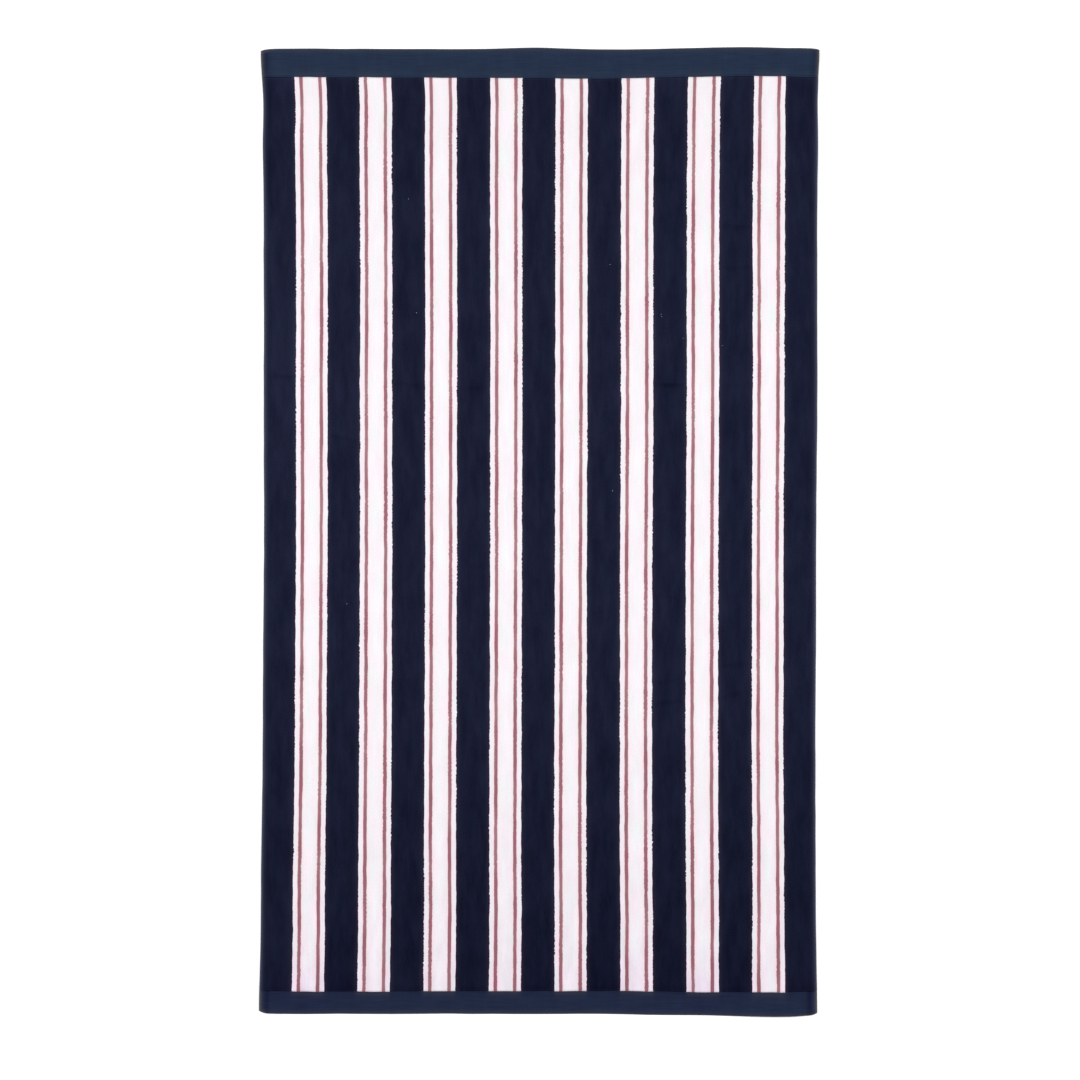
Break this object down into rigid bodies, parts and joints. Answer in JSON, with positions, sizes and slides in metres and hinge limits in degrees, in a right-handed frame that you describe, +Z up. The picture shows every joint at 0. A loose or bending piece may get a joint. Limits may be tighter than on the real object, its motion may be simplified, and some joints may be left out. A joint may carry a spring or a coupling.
{
  "type": "beach towel",
  "caption": "Beach towel lying flat: one terry cloth with lengthwise stripes, flat woven headings at both ends and turned side hems.",
  "frame": {"origin": "middle of the towel's outline, on the surface that it lies on", "axes": "+Y along the stripes towards the deeper heading, +X across the stripes, +Z up out of the towel's face"},
  "size_m": [1.0148, 1.7556, 0.0081],
  "materials": {
    "terry": "sheared cotton velour in navy, white and soft red stripes, with smooth flat woven headings of a lighter navy",
    "sewing_thread": "navy spun sewing thread, slightly glossy"
  },
  "bodies": {
    "root": {"towel": "terry"}
  },
  "joints": []
}
